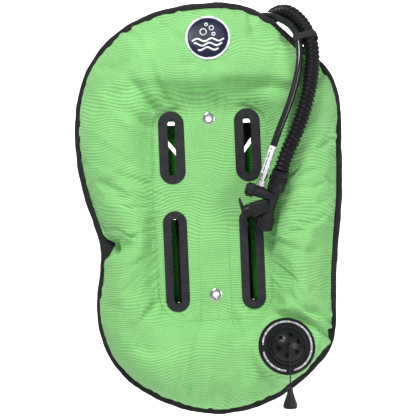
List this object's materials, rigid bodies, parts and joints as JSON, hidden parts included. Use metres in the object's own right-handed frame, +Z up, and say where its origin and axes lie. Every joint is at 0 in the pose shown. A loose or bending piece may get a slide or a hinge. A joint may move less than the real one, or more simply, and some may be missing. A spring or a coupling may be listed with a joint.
{
  "type": "wing buoyancy compensator",
  "caption": "Doughnut-shaped diving buoyancy wing with bound cloth air cell, corrugated inflator hose, low-pressure hose, dump valve, strap slots and backplate grommets.",
  "frame": {"origin": "midway between the two backplate grommets, on the front grommets' bearing face", "axes": "+X to the right seen from the diver's side, -Y towards the diver's backplate, +Z up as worn"},
  "size_m": [0.4264, 0.1771, 0.6584],
  "materials": {
    "cell_cloth": "coated ribbed nylon, soft sheen",
    "edge_tape": "woven binding tape",
    "webbing": "woven nylon",
    "bladder_film": "welded polyurethane film",
    "frame_plastic": "fine moulded texture",
    "valve_plastic": "satin moulded",
    "inflator_plastic": "fine moulded texture",
    "button_plastic": "matt",
    "grommet_steel": "polished stainless",
    "plated_brass": "bright plated",
    "spring_steel": "drawn wire",
    "seal_rubber": "matt",
    "hose_rubber": "satin corrugated",
    "lp_rubber": "glossy smooth",
    "mouth_rubber": "matt silicone",
    "cord_nylon": "braided",
    "knob_plastic": "fluted, satin",
    "badge_film": "welded badge, satin",
    "badge_rim": "silver rim",
    "zip_tape": "woven tape",
    "zip_plastic": "moulded teeth",
    "zip_metal": "black enamel"
  },
  "bodies": {
    "root": {"front_shell": "cell_cloth", "back_shell": "cell_cloth", "edge_binding": "edge_tape", "bladder": "bladder_film", "slot_flaps": "cell_cloth", "front_grommets": "grommet_steel", "rear_grommets": "grommet_steel", "grommet_washers": "grommet_steel", "front_spine_webbing": "webbing", "rear_spine_webbing": "webbing", "badge_face": "badge_film", "badge_rim": "badge_rim", "zip_tapes": "zip_tape", "zip_chain": "zip_plastic", "zip_stops": "zip_plastic", "dump_base": "valve_plastic", "dump_gasket": "seal_rubber", "dump_flange": "valve_plastic", "dump_ring": "valve_plastic", "dump_cap": "valve_plastic", "dump_spring": "spring_steel", "dump_cord": "cord_nylon", "elbow_base": "valve_plastic", "elbow_gasket": "seal_rubber", "elbow_nut": "valve_plastic", "elbow_body": "valve_plastic", "corrugated_hose": "hose_rubber", "hose_tie": "valve_plastic", "hose_retainer": "webbing", "hose_cuff": "valve_plastic", "cuff_clip": "valve_plastic", "lp_hose": "lp_rubber", "lp_ferrules": "plated_brass", "lp_fitting": "plated_brass", "lp_o_ring": "seal_rubber", "inflator_body": "inflator_plastic", "inflate_valve_rings": "seal_rubber", "inflate_spring": "spring_steel", "deflate_spring": "spring_steel", "mouthpiece": "mouth_rubber", "mouthpiece_tie": "valve_plastic", "coupler_body": "plated_brass", "coupler_nipple": "plated_brass", "slot_frame_front_upper_left": "frame_plastic", "slot_frame_front_upper_right": "frame_plastic", "slot_frame_front_lower_left": "frame_plastic", "slot_frame_front_lower_right": "frame_plastic", "slot_frame_rear_upper_left": "frame_plastic", "slot_frame_rear_upper_right": "frame_plastic", "slot_frame_rear_lower_left": "frame_plastic", "slot_frame_rear_lower_right": "frame_plastic"},
    "inflate_button": {"inflate_button": "button_plastic"},
    "deflate_button": {"deflate_button": "button_plastic", "deflate_seal": "seal_rubber"},
    "coupler_sleeve": {"coupler_sleeve": "plated_brass"},
    "dump_poppet": {"dump_poppet": "button_plastic", "dump_seal": "seal_rubber"},
    "dump_knob": {"dump_knob": "knob_plastic"},
    "zip_slider": {"zip_slider": "zip_metal"},
    "zip_pull": {"zip_pull": "zip_metal"}
  },
  "joints": [
    {"name": "inflate_press", "type": "slide", "parent": "root", "child": "inflate_button", "axis": [0.9504, 0, -0.311], "range_m": [0, 0.003], "stiffness_N_per_m": 900, "springref_m": -0.002},
    {"name": "deflate_press", "type": "slide", "parent": "root", "child": "deflate_button", "axis": [0.3004, -0.2587, 0.918], "range_m": [0, 0.0035], "stiffness_N_per_m": 700, "springref_m": -0.002},
    {"name": "coupler_release", "type": "slide", "parent": "root", "child": "coupler_sleeve", "axis": [0.2994, -0.2595, 0.9182], "range_m": [0, 0.0032], "stiffness_N_per_m": 900, "springref_m": -0.002},
    {"name": "dump_pull", "type": "slide", "parent": "root", "child": "dump_knob", "axis": [-0.0415, -0.0033, -0.9991], "range_m": [0, 0.005], "stiffness_N_per_m": 800, "springref_m": -0.002, "deforming": ["dump_cord"]},
    {"name": "dump_lift", "type": "slide", "parent": "root", "child": "dump_poppet", "axis": [0.1218, -0.9667, 0.2249], "range_m": [0, 0.005]},
    {"name": "zip_slide", "type": "slide", "parent": "root", "child": "zip_slider", "axis": [0, 0, -1], "range_m": [0, 0.214]},
    {"name": "zip_pull_swing", "type": "hinge", "parent": "zip_slider", "child": "zip_pull", "pos_m": [-0.0875, 0.0413, 0.103], "axis": [1, 0, 0], "range_deg": [0, 110]}
  ],
  "couplings": [
    {"joint": "dump_lift", "follows": "dump_pull", "ratio": 1}
  ]
}
